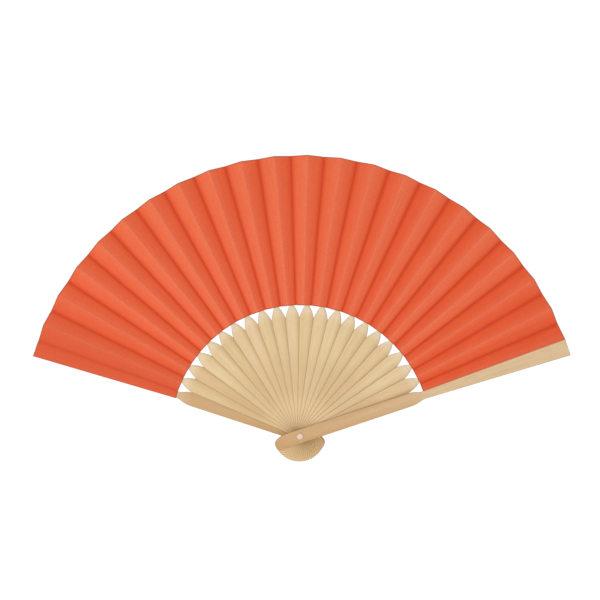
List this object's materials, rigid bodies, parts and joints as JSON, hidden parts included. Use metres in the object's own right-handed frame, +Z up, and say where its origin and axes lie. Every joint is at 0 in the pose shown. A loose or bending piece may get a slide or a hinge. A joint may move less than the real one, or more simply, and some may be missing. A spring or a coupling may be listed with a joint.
{
  "type": "hand fan",
  "caption": "Pleated paper folding hand fan on flat bamboo ribs between two stout bamboo guards; it opens and closes about one rivet.",
  "frame": {"origin": "centre of the rivet that all the sticks turn on, midway through the stack of ribs", "axes": "+Z up the middle of the open leaf, +X to the right seen from the front, +Y out of the back; the front of the fan faces -Y"},
  "size_m": [0.3691, 0.0226, 0.2102],
  "materials": {
    "bamboo": "smooth scraped bamboo, clear varnish",
    "paper": "matte dyed paper",
    "rivet_plastic": "pale satin plastic"
  },
  "bodies": {
    "back_guard": {"back_guard": "bamboo", "leaf_pleat_01": "paper", "rivet_pin": "rivet_plastic", "rivet_cap": "rivet_plastic"},
    "rib_01": {"rib_01": "bamboo", "leaf_pleat_02": "paper"},
    "rib_02": {"rib_02": "bamboo", "leaf_pleat_03": "paper"},
    "rib_03": {"rib_03": "bamboo", "leaf_pleat_04": "paper"},
    "rib_04": {"rib_04": "bamboo", "leaf_pleat_05": "paper"},
    "rib_05": {"rib_05": "bamboo", "leaf_pleat_06": "paper"},
    "rib_06": {"rib_06": "bamboo", "leaf_pleat_07": "paper"},
    "rib_07": {"rib_07": "bamboo", "leaf_pleat_08": "paper"},
    "rib_08": {"rib_08": "bamboo", "leaf_pleat_09": "paper"},
    "rib_09": {"rib_09": "bamboo", "leaf_pleat_10": "paper"},
    "rib_10": {"rib_10": "bamboo", "leaf_pleat_11": "paper"},
    "rib_11": {"rib_11": "bamboo", "leaf_pleat_12": "paper"},
    "rib_12": {"rib_12": "bamboo", "leaf_pleat_13": "paper"},
    "rib_13": {"rib_13": "bamboo", "leaf_pleat_14": "paper"},
    "rib_14": {"rib_14": "bamboo", "leaf_pleat_15": "paper"},
    "rib_15": {"rib_15": "bamboo", "leaf_pleat_16": "paper"},
    "rib_16": {"rib_16": "bamboo", "leaf_pleat_17": "paper"},
    "rib_17": {"rib_17": "bamboo", "leaf_pleat_18": "paper"},
    "rib_18": {"rib_18": "bamboo", "leaf_pleat_19": "paper"},
    "rib_19": {"rib_19": "bamboo", "leaf_pleat_20": "paper"},
    "rib_20": {"rib_20": "bamboo", "leaf_pleat_21": "paper"},
    "front_guard": {"front_guard": "bamboo", "leaf_pleat_22": "paper"}
  },
  "joints": [
    {"name": "rib_01_pivot", "type": "hinge", "parent": "back_guard", "child": "rib_01", "pos_m": [0, 0, 0], "axis": [0, -1, 0], "range_deg": [0, 6.83], "deforming": ["leaf_pleat_01"]},
    {"name": "rib_02_pivot", "type": "hinge", "parent": "rib_01", "child": "rib_02", "pos_m": [0, 0, 0], "axis": [0, -1, 0], "range_deg": [0, 6.83], "deforming": ["leaf_pleat_02"]},
    {"name": "rib_03_pivot", "type": "hinge", "parent": "rib_02", "child": "rib_03", "pos_m": [0, 0, 0], "axis": [0, -1, 0], "range_deg": [0, 6.83], "deforming": ["leaf_pleat_03"]},
    {"name": "rib_04_pivot", "type": "hinge", "parent": "rib_03", "child": "rib_04", "pos_m": [0, 0, 0], "axis": [0, -1, 0], "range_deg": [0, 6.83], "deforming": ["leaf_pleat_04"]},
    {"name": "rib_05_pivot", "type": "hinge", "parent": "rib_04", "child": "rib_05", "pos_m": [0, 0, 0], "axis": [0, -1, 0], "range_deg": [0, 6.83], "deforming": ["leaf_pleat_05"]},
    {"name": "rib_06_pivot", "type": "hinge", "parent": "rib_05", "child": "rib_06", "pos_m": [0, 0, 0], "axis": [0, -1, 0], "range_deg": [0, 6.83], "deforming": ["leaf_pleat_06"]},
    {"name": "rib_07_pivot", "type": "hinge", "parent": "rib_06", "child": "rib_07", "pos_m": [0, 0, 0], "axis": [0, -1, 0], "range_deg": [0, 6.83], "deforming": ["leaf_pleat_07"]},
    {"name": "rib_08_pivot", "type": "hinge", "parent": "rib_07", "child": "rib_08", "pos_m": [0, 0, 0], "axis": [0, -1, 0], "range_deg": [0, 6.83], "deforming": ["leaf_pleat_08"]},
    {"name": "rib_09_pivot", "type": "hinge", "parent": "rib_08", "child": "rib_09", "pos_m": [0, 0, 0], "axis": [0, -1, 0], "range_deg": [0, 6.83], "deforming": ["leaf_pleat_09"]},
    {"name": "rib_10_pivot", "type": "hinge", "parent": "rib_09", "child": "rib_10", "pos_m": [0, 0, 0], "axis": [0, -1, 0], "range_deg": [0, 6.83], "deforming": ["leaf_pleat_10"]},
    {"name": "rib_11_pivot", "type": "hinge", "parent": "rib_10", "child": "rib_11", "pos_m": [0, 0, 0], "axis": [0, -1, 0], "range_deg": [0, 6.83], "deforming": ["leaf_pleat_11"]},
    {"name": "rib_12_pivot", "type": "hinge", "parent": "rib_11", "child": "rib_12", "pos_m": [0, 0, 0], "axis": [0, -1, 0], "range_deg": [0, 6.83], "deforming": ["leaf_pleat_12"]},
    {"name": "rib_13_pivot", "type": "hinge", "parent": "rib_12", "child": "rib_13", "pos_m": [0, 0, 0], "axis": [0, -1, 0], "range_deg": [0, 6.83], "deforming": ["leaf_pleat_13"]},
    {"name": "rib_14_pivot", "type": "hinge", "parent": "rib_13", "child": "rib_14", "pos_m": [0, 0, 0], "axis": [0, -1, 0], "range_deg": [0, 6.83], "deforming": ["leaf_pleat_14"]},
    {"name": "rib_15_pivot", "type": "hinge", "parent": "rib_14", "child": "rib_15", "pos_m": [0, 0, 0], "axis": [0, -1, 0], "range_deg": [0, 6.83], "deforming": ["leaf_pleat_15"]},
    {"name": "rib_16_pivot", "type": "hinge", "parent": "rib_15", "child": "rib_16", "pos_m": [0, 0, 0], "axis": [0, -1, 0], "range_deg": [0, 6.83], "deforming": ["leaf_pleat_16"]},
    {"name": "rib_17_pivot", "type": "hinge", "parent": "rib_16", "child": "rib_17", "pos_m": [0, 0, 0], "axis": [0, -1, 0], "range_deg": [0, 6.83], "deforming": ["leaf_pleat_17"]},
    {"name": "rib_18_pivot", "type": "hinge", "parent": "rib_17", "child": "rib_18", "pos_m": [0, 0, 0], "axis": [0, -1, 0], "range_deg": [0, 6.83], "deforming": ["leaf_pleat_18"]},
    {"name": "rib_19_pivot", "type": "hinge", "parent": "rib_18", "child": "rib_19", "pos_m": [0, 0, 0], "axis": [0, -1, 0], "range_deg": [0, 6.83], "deforming": ["leaf_pleat_19"]},
    {"name": "rib_20_pivot", "type": "hinge", "parent": "rib_19", "child": "rib_20", "pos_m": [0, 0, 0], "axis": [0, -1, 0], "range_deg": [0, 6.83], "deforming": ["leaf_pleat_20"]},
    {"name": "front_guard_pivot", "type": "hinge", "parent": "rib_20", "child": "front_guard", "pos_m": [0, 0, 0], "axis": [0, -1, 0], "range_deg": [0, 6.83], "deforming": ["leaf_pleat_21"]}
  ],
  "couplings": [
    {"joint": "rib_02_pivot", "follows": "rib_01_pivot", "ratio": 1},
    {"joint": "rib_03_pivot", "follows": "rib_01_pivot", "ratio": 1},
    {"joint": "rib_04_pivot", "follows": "rib_01_pivot", "ratio": 1},
    {"joint": "rib_05_pivot", "follows": "rib_01_pivot", "ratio": 1},
    {"joint": "rib_06_pivot", "follows": "rib_01_pivot", "ratio": 1},
    {"joint": "rib_07_pivot", "follows": "rib_01_pivot", "ratio": 1},
    {"joint": "rib_08_pivot", "follows": "rib_01_pivot", "ratio": 1},
    {"joint": "rib_09_pivot", "follows": "rib_01_pivot", "ratio": 1},
    {"joint": "rib_10_pivot", "follows": "rib_01_pivot", "ratio": 1},
    {"joint": "rib_11_pivot", "follows": "rib_01_pivot", "ratio": 1},
    {"joint": "rib_12_pivot", "follows": "rib_01_pivot", "ratio": 1},
    {"joint": "rib_13_pivot", "follows": "rib_01_pivot", "ratio": 1},
    {"joint": "rib_14_pivot", "follows": "rib_01_pivot", "ratio": 1},
    {"joint": "rib_15_pivot", "follows": "rib_01_pivot", "ratio": 1},
    {"joint": "rib_16_pivot", "follows": "rib_01_pivot", "ratio": 1},
    {"joint": "rib_17_pivot", "follows": "rib_01_pivot", "ratio": 1},
    {"joint": "rib_18_pivot", "follows": "rib_01_pivot", "ratio": 1},
    {"joint": "rib_19_pivot", "follows": "rib_01_pivot", "ratio": 1},
    {"joint": "rib_20_pivot", "follows": "rib_01_pivot", "ratio": 1},
    {"joint": "front_guard_pivot", "follows": "rib_01_pivot", "ratio": 1}
  ]
}
